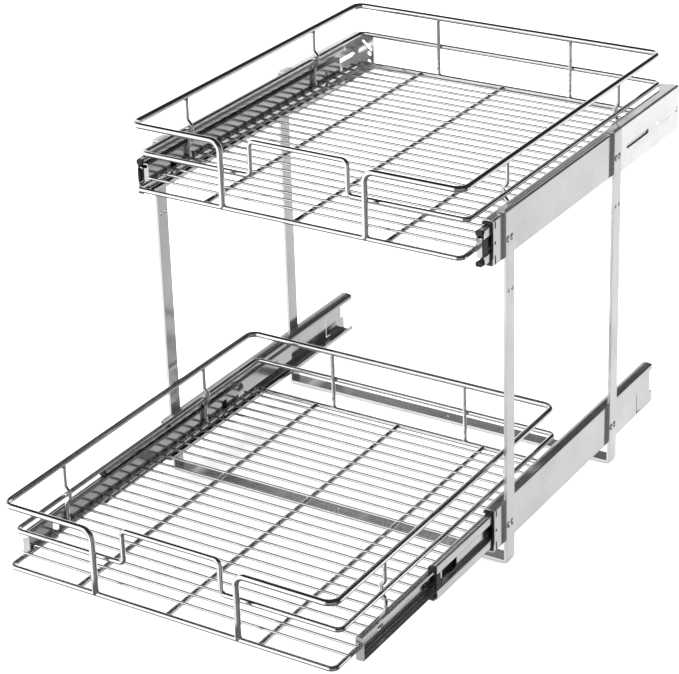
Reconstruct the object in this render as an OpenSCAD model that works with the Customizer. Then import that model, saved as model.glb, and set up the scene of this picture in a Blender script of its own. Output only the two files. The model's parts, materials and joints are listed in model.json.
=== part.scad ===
// Two-tier pull out cabinet basket: two wire baskets on ball-bearing slides,
// carried by two bent flat-bar straps that screw to the cabinet floor.
// X runs right, Y back, Z up. The origin is on the underside of the front strap's
// foot, on the object's middle line and strap_lead behind the foot's middle.

/* [Cabinet frame] */
// Distance between the inner faces of the strap's posts
frame_in = 383.4; // [300:0.2:560]
// Distance from the front strap to the rear strap, centre to centre
strap_pitch = 223; // [200:1:240]
// How far the middle of the front strap lies in front of the origin
strap_lead = 5; // [0:0.5:6]
// Width of the flat bar
strap_w = 16; // [15:1:20]
// Thickness of the flat bar
strap_t = 3; // [2:0.1:4]
// Height from the lower basket's floor wires to the upper basket's
tier_h = 294.5; // [200:0.5:360]
// Height of the lower basket's floor wires over the cabinet floor
floor_h = 38.6; // [36:0.2:45]

/* [Slides] */
// Length of the slide
rail_l = 350; // [340:1:360]
// Height of the slide's outer rail
rail_h = 45.7; // [45.6:0.1:46]
// How far the slide's front end stands in front of the origin
rail_front = 31.5; // [28:0.5:40]
// Height of the slide's middle line over the basket's floor wires
rail_up = 5.05; // [4.5:0.05:5.6]
// Steel thickness of the slide's rails
rail_t = 1.2; // [1.0:0.05:1.2]
// Travel of the upper basket from closed
pull = 350; // [300:5:350]
// How far the lower basket is drawn as pulled out
drawn_out = 230; // [0:5:300]

/* [Baskets] */
// Half width of the gap in the front of the top rim
drop_x = 78; // [68:1:95]
// Half width of the pull handle's arch
grip_x = 53; // [40:1:56]
// Depth of the top rim, centre to centre of the wire
rim_d = 410; // [408:1:414]
// Height of the top rim over the floor wires
rim_z = 65.5; // [60:0.5:80]
// Thickness of the top rim's wire
rim_wire = 6.2; // [5.6:0.1:6.4]
// Height of the middle rail over the floor wires
mid_z = 32.5; // [30:0.5:36]
// Thickness of the middle and floor frame wires
frame_wire = 5; // [4.6:0.1:5]
// Thickness of the uprights
upright_wire = 4; // [3.4:0.1:4]
// Thickness of the cross wires
cross_wire = 2.6; // [2.2:0.1:3]
// Number of cross wires
cross_n = 25; // [15:1:25]

/* [Hidden] */
$fn = 48;

// slide section, right hand side, X from the middle of the basket
rail_x1 = frame_in / 2;            // outer face of the outer rail
rail_x0 = rail_x1 - 12.7;          // inboard face of the slide
half = rail_h / 2;
mid_x0 = rail_x0 + 2.6;
mid_x1 = rail_x1 - 2.3;
mid_half = 17.5;
inn_x1 = rail_x1 - 4.7;
inn_half = 12;
lip = 6;
outer_ball = 3.8;
inner_ball = 4;
outer_row = (half - rail_t + mid_half) / 2;
inner_row = (mid_half - rail_t + inn_half) / 2;
ball_x = rail_x0 + 6.5;
balls_n = 8;
cage_t = 0.6;
recess = 4.4;                      // depth of the middle rail's recessed web
recess_half = 9.1;
// distances along the slide from its front end, closed: [lower, upper]
mid_set = [10, -12];
inn_set = [0, -9];
mid_l = rail_l - 14;
outer_cage_s = [96, 240];
inner_cage_s = [108, 250];
// baskets
side_x = rail_x0 - frame_wire / 2; // side wires of the floor frame and middle rail
rim_w = 2 * side_x + 3;
rim_back = 12;                     // the middle rail's front, behind the rim's front
mid_back = upright_wire / 2 + frame_wire / 2;
cross_z = (frame_wire + cross_wire) / 2;
cross_p = (rim_d - 38) / (cross_n - 1);
up_y = [87, rim_d - 91.8];         // side uprights
long_x = [-0.561, 0, 0.561] * side_x; // floor wires that run back
low_q = min(drawn_out, pull);
basket_front = -63;                // rim front when closed
z_low = floor_h;
z_up = floor_h + tier_h;
rz_low = z_low + rail_up;
rz_up = z_up + rail_up;
post_x = rail_x1;                  // inner face of a post
post_c = post_x + strap_t / 2;
post_top = rz_up + half;
bracket_t = 1.5;
strap_y = [-strap_lead, strap_pitch - strap_lead];
bracket_y0 = strap_y[1] + strap_w / 2 + 0.5;
bracket_y1 = 366;
rivet_dy = 3.6;
rivet_dz = -3;

function unit(v) = v / norm(v);
function left_of(v) = [-v[1], v[0]];
function spin(v, a) = [v[0] * cos(a) - v[1] * sin(a), v[0] * sin(a) + v[1] * cos(a)];
function turn_of(u, v) = atan2(u[0] * v[1] - u[1] * v[0], u * v);

// One side of a bent strip: the path moved d to its left, each corner as k + 1 points.
function strip_side(p, r, d, k) = [
    for (i = [0 : len(p) - 1])
        if (i == 0) p[0] + left_of(unit(p[1] - p[0])) * d
        else if (i == len(p) - 1) p[i] + left_of(unit(p[i] - p[i - 1])) * d
        else let (u = unit(p[i] - p[i - 1]), v = unit(p[i + 1] - p[i]),
                  a = turn_of(u, v), s = a > 0 ? 1 : -1, ri = r[i],
                  c = p[i] - u * ri * tan(abs(a) / 2) + left_of(u) * s * ri)
            each [for (j = [0 : k]) c - spin(left_of(u) * s, a * j / k) * (ri - s * d)]];

// Section of a sheet or bar bent along path p, t thick, with centre-line radii r.
module strip(p, r, t, k = 5) {
    a = strip_side(p, r, t / 2, k);
    b = strip_side(p, r, -t / 2, k);
    polygon(concat(a, [for (i = [len(b) - 1 : -1 : 0]) b[i]]));
}

// Draws a section given in X and Z, from y0 to y1.
module along_y(y0, y1) {
    translate([0, y1, 0]) rotate([90, 0, 0]) linear_extrude(y1 - y0) children();
}

module hand(side) {
    if (side < 0) mirror([1, 0, 0]) children();
    else children();
}

// Wire of diameter d bent along the flat path p with radius r, in the XY plane.
module wire(p, d, r, closed = false) {
    n = len(p);
    function t_at(i) = (!closed && (i == 0 || i == n - 1)) ? 0 :
        r * tan(abs(turn_of(unit(p[i] - p[(i + n - 1) % n]), unit(p[(i + 1) % n] - p[i]))) / 2);
    for (i = [0 : closed ? n - 1 : n - 2]) {
        a = p[i]; b = p[(i + 1) % n]; u = unit(b - a);
        q = a + u * t_at(i);
        l = norm(b - a) - t_at(i) - t_at((i + 1) % n);
        if (l > 0.001)
            translate([q[0], q[1], 0]) rotate([0, 0, atan2(u[1], u[0])]) rotate([0, 90, 0])
                cylinder(h = l, d = d);
    }
    for (i = [closed ? 0 : 1 : closed ? n - 1 : n - 2]) {
        u = unit(p[i] - p[(i + n - 1) % n]); v = unit(p[(i + 1) % n] - p[i]);
        a = turn_of(u, v); s = a > 0 ? 1 : -1;
        c = p[i] - u * t_at(i) + left_of(u) * s * r;
        f = -left_of(u) * s;
        a0 = atan2(f[1], f[0]);
        translate([c[0], c[1], 0]) rotate([0, 0, a > 0 ? a0 : a0 + a])
            rotate_extrude(angle = abs(a)) translate([r, 0]) circle(d = d);
    }
}

// The same wire standing in the XZ plane.
module wire_xz(p, d, r) {
    rotate([90, 0, 0]) wire(p, d, r);
}

// ---- cabinet frame ----

module post_holes(y) {
    for (s = [-1, 1], dy = [-1, 1]) translate([s * post_c, y + dy * rivet_dy, 0]) {
        for (z = [rz_low + rivet_dz, rz_up + rivet_dz])
            translate([0, 0, z]) rotate([0, 90, 0]) cylinder(h = 3 * strap_t, d = 4, center = true);
        translate([0, 0, rz_up - 54]) rotate([0, 90, 0]) cylinder(h = 3 * strap_t, d = 3.8, center = true);
    }
}

// One flat bar bent to a U: post, foot, post, with a tab folded over each upper slide.
module strap(y) {
    x = post_c; zt = post_top + strap_t / 2; zf = strap_t / 2; b = strap_t / 2 + 0.4;
    color([0.80, 0.81, 0.81]) difference() {
        along_y(y - strap_w / 2, y + strap_w / 2)
            strip([[-x + 8, zt], [-x, zt], [-x, zf], [x, zf], [x, zt], [x - 8, zt]],
                [0, b, b, b, b, 0], strap_t);
        post_holes(y);
        // floor screw hole
        translate([0, y, -1]) cylinder(h = strap_t + 2, d = 4.5);
    }
}

module front_strap() { strap(strap_y[0]); }
module rear_strap() { strap(strap_y[1]); }

module strap_rivets() {
    color([0.72, 0.73, 0.74])
    for (s = [-1, 1], y = strap_y, dy = [-1, 1], z = [rz_low, rz_up]) hand(s)
        translate([0, y + dy * rivet_dy, z + rivet_dz]) rotate([0, 90, 0]) {
            translate([0, 0, post_x - rail_t + 0.05]) cylinder(h = rail_t + strap_t - 0.05, d = 3.9);
            translate([0, 0, post_x + strap_t]) cylinder(h = 0.7, d = 6.2);
            translate([0, 0, post_x + strap_t + 0.7]) cylinder(h = 0.5, d = 4.4);
        }
}

// Long hole through a plate standing across X, from y0 to y1 at height z.
module slot_x(x, y0, y1, z, w) {
    translate([x, 0, z]) rotate([0, 90, 0]) {
        for (y = [y0 + w / 2, y1 - w / 2]) translate([0, y, -5]) cylinder(h = 10, d = w);
        translate([-w / 2, y0 + w / 2, -5]) cube([w, y1 - y0 - w, 10]);
    }
}

// Steel bracket that carries the upper slide back to a flange for the cabinet's rear wall.
module rear_bracket() {
    x = post_x + bracket_t / 2; h = half + bracket_t / 2; e = bracket_t / 2;
    color([0.84, 0.85, 0.85]) translate([0, 0, rz_up]) difference() {
        union() {
            along_y(bracket_y0, bracket_y1 - 3)
                strip([[x - 11.3, h], [x, h], [x, -h], [x - 11.3, -h]], [0, 1.7, 1.7, 0], bracket_t);
            translate([0, 0, -half + 1]) linear_extrude(rail_h - 2)
                strip([[x, bracket_y1 - 3], [x, bracket_y1 - e], [post_x - 21.7, bracket_y1 - e]], [0, 1.6, 0], bracket_t);
        }
        slot_x(x, 240.3, 291.3, -0.6, 5);
        slot_x(x, 309.6, 360.6, -0.6, 5);
        // round screw holes and the slanted long hole in the rear flange
        for (p = [[post_x - 16.3, 0, 5.2], [post_x - 16.1, -8.8, 4.5]])
            translate([p[0], bracket_y1 + 1, -rail_up + 5.2 + p[1]]) rotate([90, 0, 0]) cylinder(h = 4, d = p[2]);
        for (k = [0, 1]) translate([post_x - 18.1 + k * 9, bracket_y1 + 1, 5 + k * 8]) rotate([90, 0, 0]) cylinder(h = 4, d = 4);
        translate([post_x - 18.1, bracket_y1 + 1, 5]) rotate([90, 0, 0]) rotate([0, 0, atan2(8, 9)])
            translate([0, -2, 0]) cube([norm([8, 9]), 4, 4]);
    }
}

module right_rear_bracket() { rear_bracket(); }
module left_rear_bracket() { hand(-1) rear_bracket(); }

// ---- slides ----

// Section of the outer rail: its inboard edges curl round the balls.
module outer_section(l, t) {
    xa = rail_x0 + t / 2; xb = rail_x1 - t / 2; z = half - t / 2;
    strip([[xa, -half + l], [xa, -z], [xb, -z], [xb, z], [xa, z], [xa, half - l]], [0, 3.4, 1.2, 1.2, 3.4, 0], t, 6);
}

// Section of the middle rail: short lips inboard, and a web recessed between two outboard bands.
module middle_section(l, t) {
    xa = mid_x0 + t / 2; xb = mid_x1 - t / 2; xr = xb - recess; z = mid_half - t / 2; zr = recess_half - t / 2;
    strip([[xa, -mid_half + l], [xa, -z], [xb, -z], [xb, -zr], [xr, -zr], [xr, zr], [xb, zr], [xb, z], [xa, z], [xa, mid_half - l]],
        [0, 1.2, 1.2, 1, 1, 1, 1, 1.2, 1.2, 0], t, 4);
}

module outer_rail(side, z) {
    y0 = -rail_front;
    color([0.78, 0.79, 0.79]) hand(side) translate([0, 0, z]) difference() {
        along_y(y0, y0 + rail_l) outer_section(lip, rail_t);
        for (y = strap_y, dy = [-1, 1])
            translate([rail_x1 - 3, y + dy * rivet_dy, rivet_dz]) rotate([0, 90, 0]) cylinder(h = 5, d = 4);
        // stamped marks at the front end
        for (w = [[14, 7], [-20.6, 8.6]])
            translate([rail_x1 - 2, y0 + 2.6, w[0]]) cube([3, 1.6, w[1]]);
        translate([rail_x1 - 3, y0 + 3.4, 0]) rotate([0, 90, 0]) cylinder(h = 5, d = 2.4);
        // hole and hooked cut in the web, step at the rear end
        translate([rail_x1 - 3, y0 + 253, -9.4]) rotate([0, 90, 0]) cylinder(h = 5, d = 4);
        translate([rail_x1 - 2, y0 + 312, -19]) cube([3, 1.4, 22]);
        translate([rail_x1 - 2, y0 + 312, -19]) cube([3, 9, 1.4]);
        translate([rail_x1 - 2, y0 + rail_l - 6, -8]) cube([3, 8, 24]);
    }
}

// Plastic end piece that lines a rail's front, open for the rail that runs inside it.
// x0..x1 and h: inside of the rail. wx, wh: the running rail's web side and clear half height.
// It runs from y = 0 to 7.5. r: radius of the inboard corners.
module end_piece(x0, x1, h, wx, wh, r) {
    difference() {
        along_y(0, 7.5) plate(x0, x1, h, r);
        translate([x0 - 1, -1, -wh]) cube([wx - x0 + 1, 10, 2 * wh]);
    }
}

// Two stops in front of a rail's flanges, from za to zb above and below the middle.
module stops(x0, x1, za, zb) {
    for (z = [za, -zb]) translate([x0, -2.5, z]) cube([x1 - x0, 3.4, zb - za]);
}

// Plate from x0 to x1 and h above and below the middle, its inboard corners rounded.
module plate(x0, x1, h, r) {
    polygon([[x0 + r, -h], [x1 - 0.4, -h], [x1, 0.4 - h], [x1, h - 0.4], [x1 - 0.4, h], [x0 + r, h]]);
    translate([x0, r - h]) square([r + 0.1, 2 * (h - r)]);
    for (z = [r - h, h - r]) translate([x0 + r, z]) circle(r = r);
}

module mouth_bumper(side, z) {
    color([0.08, 0.08, 0.085]) hand(side) translate([0, -rail_front - 1, z])
        end_piece(rail_x0 + 1.5, rail_x1 - rail_t - 0.05, half - rail_t - 0.05,
            mid_x1 + 0.25, mid_half + 0.35, 3);
}

module middle_rail(side, z, q, k) {
    y0 = -rail_front + mid_set[k];
    color([0.74, 0.75, 0.76]) hand(side) translate([0, y0 - q / 2, z]) difference() {
        along_y(0, mid_l) middle_section(2.8, rail_t);
        // notch for the end piece and the inner rail's tab, then a strip of web, then a window
        translate([mid_x1 - 8, -1, -9.6]) cube([6, 8.2, 17]);
        translate([mid_x1 - 8, 16.5, -6.6]) cube([6, 27.5, 13.2]);
        for (y = [mid_l / 2, mid_l - 30])
            translate([mid_x1 - 8, y, 0]) rotate([0, 90, 0]) cylinder(h = 6, d = 5);
    }
}

module middle_bumper(side, z, q, k) {
    color([0.08, 0.08, 0.085]) hand(side) translate([0, -rail_front + mid_set[k] - 1 - q / 2, z]) {
        difference() {
            end_piece(mid_x0 + 1.4, mid_x1 - rail_t - 0.05, mid_half - rail_t - 0.05,
                inn_x1 + 0.3, inn_half + 0.4, 0.6);
            // room for the recessed web
            translate([mid_x0, 0.95, -recess_half - 0.3]) cube([10, 10, 2 * recess_half + 0.6]);
        }
        stops(mid_x0 + 0.1, mid_x1 - rail_t - 0.3, inn_half + 0.7, mid_half - 0.1);
        // block in the recess, outboard of the web
        along_y(0, 7.7) translate([inn_x1 + 0.4, -7.5]) square([1.7, 15]);
    }
}

// Inner rail: its web lies against the basket's floor wire, held by two hooks cut from it.
// A tab folded across its front end is its stop.
module inner_rail(side, z, q, k) {
    color([0.80, 0.81, 0.81]) hand(side) translate([0, -rail_front + inn_set[k] - q, z]) {
        difference() {
            along_y(0, rail_l)
                strip([[inn_x1, -inn_half + rail_t / 2], [rail_x0 + rail_t / 2, -inn_half + rail_t / 2],
                    [rail_x0 + rail_t / 2, inn_half - rail_t / 2], [inn_x1, inn_half - rail_t / 2]],
                    [0, 1.2, 1.2, 0], rail_t, 4);
            for (y = [35.5, rail_l - 44.5]) translate([rail_x0 - 1, y, -5]) cube([3, 9, 10]);
        }
        // front tab, cut off at a slant on top
        translate([0, 1.2, 0]) rotate([90, 0, 0]) linear_extrude(1.2)
            polygon([[rail_x0 + 0.6, -inn_half + 0.6], [inn_x1, -inn_half + 0.6], [inn_x1, 5.6], [rail_x0 + 0.6, 8]]);
        for (y = [31, rail_l - 35]) {
            z0 = -rail_up - frame_wire / 2;
            along_y(y, y + 4.2)
                strip([[rail_x0 + 0.2, z0 - 0.65], [rail_x0 - 5.7, z0 - 0.65], [rail_x0 - 5.7, z0 + 2.2]], [0, 0.9, 0], 1.1);
        }
    }
}

// Ball cage: thin bent strips with a hole for each ball, above and below. cut: half height of the
// gap between them. Without it the strips join in a frame round the web.
module cage(side, y0, y1, xa, xb, row, hole, cut = 0) {
    n = balls_n; p = (y1 - y0 - 14) / (n - 1);
    difference() {
        along_y(y0, y1)
            strip([[xa, -row], [xb - cage_t / 2, -row], [xb - cage_t / 2, row], [xa, row]], [0, 0.8, 0.8, 0], cage_t, 3);
        for (i = [0 : n - 1], s = [-1, 1])
            translate([ball_x, y0 + 7 + p * i, s * row]) cylinder(h = 2, d = hole, center = true);
        if (cut > 0) translate([xb - 1, y0 - 1, -cut]) cube([2, y1 - y0 + 2, 2 * cut]);
        else translate([xb - 1, y0 + 10, -row + 4]) cube([2, y1 - y0 - 20, 2 * row - 8]);
    }
}

module cage_balls(y0, y1, row, d) {
    n = balls_n; p = (y1 - y0 - 14) / (n - 1);
    for (i = [0 : n - 1], s = [-1, 1])
        translate([ball_x, y0 + 7 + p * i, s * row]) sphere(d = d, $fn = 24);
}

module outer_cage(side, z, q) {
    color([0.70, 0.71, 0.72]) hand(side) translate([0, -rail_front - q / 4, z])
        cage(side, outer_cage_s[0], outer_cage_s[1], ball_x - 2.9, mid_x1 + 0.8, outer_row, outer_ball + 0.3);
}

module inner_cage(side, z, q) {
    color([0.70, 0.71, 0.72]) hand(side) translate([0, -rail_front - q * 0.75, z])
        cage(side, inner_cage_s[0], inner_cage_s[1], ball_x - 2.5, inn_x1 + 0.9, inner_row, inner_ball + 0.3, 10.6);
}

module outer_balls(z, q) {
    color([0.66, 0.67, 0.68]) for (s = [-1, 1]) hand(s) translate([0, -rail_front - q / 4, z])
        cage_balls(outer_cage_s[0], outer_cage_s[1], outer_row, outer_ball);
}

module inner_balls(z, q) {
    color([0.66, 0.67, 0.68]) for (s = [-1, 1]) hand(s) translate([0, -rail_front - q * 0.75, z])
        cage_balls(inner_cage_s[0], inner_cage_s[1], inner_row, inner_ball);
}

// ---- baskets ----

module top_rim() {
    w = rim_w / 2; r = 10;
    color([0.86, 0.87, 0.88]) {
        translate([0, 0, rim_z])
            wire([[-drop_x - r, 0], [-w, 0], [-w, rim_d], [w, rim_d], [w, 0], [drop_x + r, 0]], rim_wire, r);
        for (s = [-1, 1]) hand(s)
            wire_xz([[drop_x + r, rim_z], [drop_x, rim_z], [drop_x, frame_wire / 2]], rim_wire, r);
    }
}

module mid_rim() {
    w = side_x; r = 5; yb = rim_d + mid_back;
    color([0.86, 0.87, 0.88]) {
        translate([0, 0, mid_z])
            wire([[-grip_x - 8, rim_back], [-w, rim_back], [-w, yb], [w, yb], [w, rim_back], [grip_x + 8, rim_back]], frame_wire, 6);
        translate([0, rim_back, 0])
            wire_xz([[-grip_x - 8, mid_z], [-grip_x, mid_z], [-grip_x, rim_z + 1], [grip_x, rim_z + 1],
                [grip_x, mid_z], [grip_x + 8, mid_z]], frame_wire, r);
    }
}

module floor_frame() {
    color([0.86, 0.87, 0.88])
        wire([[-side_x, 0], [side_x, 0], [side_x, rim_d], [-side_x, rim_d]], frame_wire, 6, true);
}

module long_wires() {
    color([0.86, 0.87, 0.88]) for (x = long_x)
        translate([x, frame_wire / 2, 0]) rotate([-90, 0, 0]) cylinder(h = rim_d - frame_wire, d = frame_wire);
}

module cross_wires() {
    color([0.86, 0.87, 0.88]) for (i = [0 : cross_n - 1])
        translate([-side_x - 2, 20 + cross_p * i, cross_z]) rotate([0, 90, 0])
            cylinder(h = 2 * side_x + 4, d = cross_wire);
}

// Round bar from a to b in the XZ plane.
module bar_xz(a, b, d) {
    u = unit(b - a);
    translate([a[0], 0, a[1]]) rotate([0, atan2(u[0], u[1]), 0]) cylinder(h = norm(b - a), d = d);
}

// Uprights step inwards round the middle rail, with a rounded knuckle at each bend.
module side_uprights() {
    x = side_x; k = (frame_wire + upright_wire) / 2; d = upright_wire;
    p = [[x, frame_wire / 2], [x, mid_z - 9], [x - k, mid_z - 3.5], [x - k, mid_z + 3.5], [x, mid_z + 9],
        [x, rim_z - rim_wire / 2 + 0.2]];
    color([0.86, 0.87, 0.88]) for (s = [-1, 1], y = up_y) hand(s) translate([0, y, 0]) {
        for (i = [0 : 4]) bar_xz(p[i], p[i + 1], i % 2 == 0 ? d : d - 0.1);
        for (i = [1 : 4]) translate([p[i][0], 0, p[i][1]]) sphere(d = d + 0.4);
    }
}

module back_uprights() {
    color([0.86, 0.87, 0.88]) for (s = [-1, 1])
        translate([s * drop_x, rim_d, frame_wire / 2])
            cylinder(h = rim_z - rim_wire / 2 - frame_wire / 2, d = upright_wire);
}

module place(z, q) { translate([0, basket_front - q, z]) children(); }

// ---- nodes ----

front_strap();
rear_strap();
strap_rivets();
left_rear_bracket();
right_rear_bracket();
outer_rail(-1, rz_up);  // upper_left_outer_rail
outer_rail(1, rz_up);  // upper_right_outer_rail
outer_rail(-1, rz_low);  // lower_left_outer_rail
outer_rail(1, rz_low);  // lower_right_outer_rail
mouth_bumper(-1, rz_up);  // upper_left_mouth_bumper
mouth_bumper(1, rz_up);  // upper_right_mouth_bumper
mouth_bumper(-1, rz_low);  // lower_left_mouth_bumper
mouth_bumper(1, rz_low);  // lower_right_mouth_bumper
middle_rail(-1, rz_up, 0, 1);  // upper_left_middle_rail
middle_rail(1, rz_up, 0, 1);  // upper_right_middle_rail
middle_rail(-1, rz_low, low_q, 0);  // lower_left_middle_rail
middle_rail(1, rz_low, low_q, 0);  // lower_right_middle_rail
middle_bumper(-1, rz_up, 0, 1);  // upper_left_middle_bumper
middle_bumper(1, rz_up, 0, 1);  // upper_right_middle_bumper
middle_bumper(-1, rz_low, low_q, 0);  // lower_left_middle_bumper
middle_bumper(1, rz_low, low_q, 0);  // lower_right_middle_bumper
inner_rail(-1, rz_up, 0, 1);  // upper_left_inner_rail
inner_rail(1, rz_up, 0, 1);  // upper_right_inner_rail
inner_rail(-1, rz_low, low_q, 0);  // lower_left_inner_rail
inner_rail(1, rz_low, low_q, 0);  // lower_right_inner_rail
outer_cage(-1, rz_up, 0);  // upper_left_outer_cage
outer_cage(1, rz_up, 0);  // upper_right_outer_cage
outer_cage(-1, rz_low, low_q);  // lower_left_outer_cage
outer_cage(1, rz_low, low_q);  // lower_right_outer_cage
inner_cage(-1, rz_up, 0);  // upper_left_inner_cage
inner_cage(1, rz_up, 0);  // upper_right_inner_cage
inner_cage(-1, rz_low, low_q);  // lower_left_inner_cage
inner_cage(1, rz_low, low_q);  // lower_right_inner_cage
outer_balls(rz_up, 0);  // upper_outer_balls
outer_balls(rz_low, low_q);  // lower_outer_balls
inner_balls(rz_up, 0);  // upper_inner_balls
inner_balls(rz_low, low_q);  // lower_inner_balls
place(z_up, 0) top_rim();  // upper_top_rim
place(z_low, low_q) top_rim();  // lower_top_rim
place(z_up, 0) mid_rim();  // upper_mid_rim
place(z_low, low_q) mid_rim();  // lower_mid_rim
place(z_up, 0) floor_frame();  // upper_floor_frame
place(z_low, low_q) floor_frame();  // lower_floor_frame
place(z_up, 0) long_wires();  // upper_long_wires
place(z_low, low_q) long_wires();  // lower_long_wires
place(z_up, 0) cross_wires();  // upper_cross_wires
place(z_low, low_q) cross_wires();  // lower_cross_wires
place(z_up, 0) side_uprights();  // upper_side_uprights
place(z_low, low_q) side_uprights();  // lower_side_uprights
place(z_up, 0) back_uprights();  // upper_back_uprights
place(z_low, low_q) back_uprights();  // lower_back_uprights
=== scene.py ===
import bpy, bmesh, json, math, random
from mathutils import Vector, Matrix

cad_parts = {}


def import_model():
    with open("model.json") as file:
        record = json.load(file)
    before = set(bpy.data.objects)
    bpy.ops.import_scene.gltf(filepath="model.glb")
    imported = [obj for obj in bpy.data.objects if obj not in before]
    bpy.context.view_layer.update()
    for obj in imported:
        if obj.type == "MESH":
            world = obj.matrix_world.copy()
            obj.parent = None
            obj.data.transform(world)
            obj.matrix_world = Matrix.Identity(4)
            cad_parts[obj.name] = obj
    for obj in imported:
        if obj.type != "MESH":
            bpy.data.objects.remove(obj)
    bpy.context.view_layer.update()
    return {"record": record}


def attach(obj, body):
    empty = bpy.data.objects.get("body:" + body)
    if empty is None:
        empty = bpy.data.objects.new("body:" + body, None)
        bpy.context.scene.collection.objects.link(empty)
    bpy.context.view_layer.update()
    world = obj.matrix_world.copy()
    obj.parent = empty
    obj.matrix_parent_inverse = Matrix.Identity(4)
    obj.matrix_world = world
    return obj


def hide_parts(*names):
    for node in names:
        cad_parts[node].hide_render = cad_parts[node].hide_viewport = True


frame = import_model()
BODY_OF = {n: b for b, ns in frame["record"]["behaviour"]["bodies"].items() for n in ns}
SC = bpy.context.scene
COL = SC.collection
MM = 0.001

# ---------------------------------------------------------------- sizes, in mm, as in the CAD
RX1, RX0 = 191.7, 179.0            # slide: outer face, inboard face
HALF, RT = 22.85, 1.2
MX0, MX1, MH = 181.6, 189.4, 17.5
IX1, IH = 187.0, 12.0
RECESS, RECESS_H = 4.4, 9.1
RAIL_L, RAIL_F, MID_L = 350.0, 31.5, 336.0
MID_SET = {"lower": 10.0, "upper": -12.0}
INN_SET = {"lower": 0.0, "upper": -9.0}
Q = {"lower": 230.0, "upper": 0.0}
ZB = {"lower": 38.6, "upper": 333.1}
RZ = {"lower": 43.65, "upper": 338.15}
FW, TW, UW, CW = 5.0, 6.2, 4.0, 2.6   # wires: frame, top rim, uprights, cross
SX = RX0 - FW / 2
RIM_D, RIM_Z, MIDZ = 410.0, 65.5, 32.5
DROP, GRIP = 78.0, 53.0
UP_Y = (87.0, 318.2)
STRAP_Y = (-5.0, 218.0)
ST, SW = 3.0, 16.0
BX, IROW, OROW = 185.5, 14.15, 19.575


# ---------------------------------------------------------------- mesh helpers
def rounded(poly, r, closed=False, n=8):
    """Polyline through poly (3-D, mm) with its corners turned into arcs of radius r."""
    out, m = [], len(poly)
    P = [Vector(p) for p in poly]
    for i, p in enumerate(P):
        if not closed and i in (0, m - 1):
            out.append(p)
            continue
        a, b = P[i - 1], P[(i + 1) % m]
        u, v = (a - p).normalized(), (b - p).normalized()
        ang = u.angle(v)
        ri = r[i] if isinstance(r, (list, tuple)) else r
        if ri <= 0 or abs(ang - math.pi) < 1e-4:
            out.append(p)
            continue
        t = ri / math.tan(ang / 2)
        c = p + (u + v).normalized() * (ri / math.sin(ang / 2))
        s, e = p + u * t - c, p + v * t - c
        tot = s.angle(e)
        ax = s.cross(e).normalized()
        for k in range(n + 1):
            out.append(c + Matrix.Rotation(tot * k / n, 3, ax) @ s)
    return out


def finer(path, step):
    """Adds points on long straight runs, so that slight shape can be given to them."""
    out = []
    for a, b in zip(path, path[1:]):
        k = max(1, int((b - a).length / step))
        out += [a.lerp(b, j / k) for j in range(k)]
    return out + [path[-1]]


def tube_into(bm, path, rad, closed=False, segs=20, cap="round", wob=0.0, seed=0):
    """Sweeps a round section along path (mm) into bm (metres). cap: round or chamfer."""
    rng = random.Random(seed)
    pts = [Vector(p) for p in path]
    n = len(pts)
    tans = []
    for i in range(n):
        a = pts[i - 1] if (closed or i) else pts[0]
        b = pts[(i + 1) % n] if (closed or i < n - 1) else pts[-1]
        tans.append((b - a).normalized())
    nrm = tans[0].orthogonal().normalized()
    for cand in (Vector((0, 0, 1)), Vector((1, 0, 0))):
        if abs(cand.dot(tans[0])) < 0.9:
            nrm = (cand - tans[0] * cand.dot(tans[0])).normalized()
            break
    frames, prev = [], tans[0]
    for t in tans:
        ax = prev.cross(t)
        if ax.length > 1e-9:
            nrm = Matrix.Rotation(prev.angle(t), 3, ax.normalized()) @ nrm
        nrm = (nrm - t * nrm.dot(t)).normalized()
        frames.append((nrm.copy(), t.cross(nrm)))
        prev = t
    rings = []

    def ring(c, f, r):
        return [bm.verts.new((c + f[0] * (math.cos(2 * math.pi * k / segs) * r)
                              + f[1] * (math.sin(2 * math.pi * k / segs) * r)) * MM) for k in range(segs)]

    body = [(pts[i], frames[i], rad * (1 + wob * (rng.random() - 0.5))) for i in range(n)]
    if not closed:
        prof = ([(0.0, 1.0), (0.35, 0.93), (0.62, 0.74), (0.78, 0.42)] if cap == "round"
                else [(0.0, 1.0), (0.16, 0.97), (0.34, 0.84)])
        head = [(pts[0] - tans[0] * (d * rad), frames[0], rad * s) for d, s in reversed(prof[1:])]
        tail = [(pts[-1] + tans[-1] * (d * rad), frames[-1], rad * s) for d, s in prof[1:]]
        body = head + body + tail
    for c, f, r in body:
        rings.append(ring(c, f, r))
    m = len(rings)
    for i in range(m if closed else m - 1):
        a, b = rings[i], rings[(i + 1) % m]
        off = 0
        if closed and i == m - 1:
            off = min(range(segs), key=lambda o: (a[0].co - b[o].co).length)
        for k in range(segs):
            bm.faces.new((a[k], a[(k + 1) % segs], b[(k + 1 + off) % segs], b[(k + off) % segs]))
    if not closed:
        for rg, flip in ((rings[0], True), (rings[-1], False)):
            bm.faces.new(list(reversed(rg)) if flip else rg)


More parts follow.
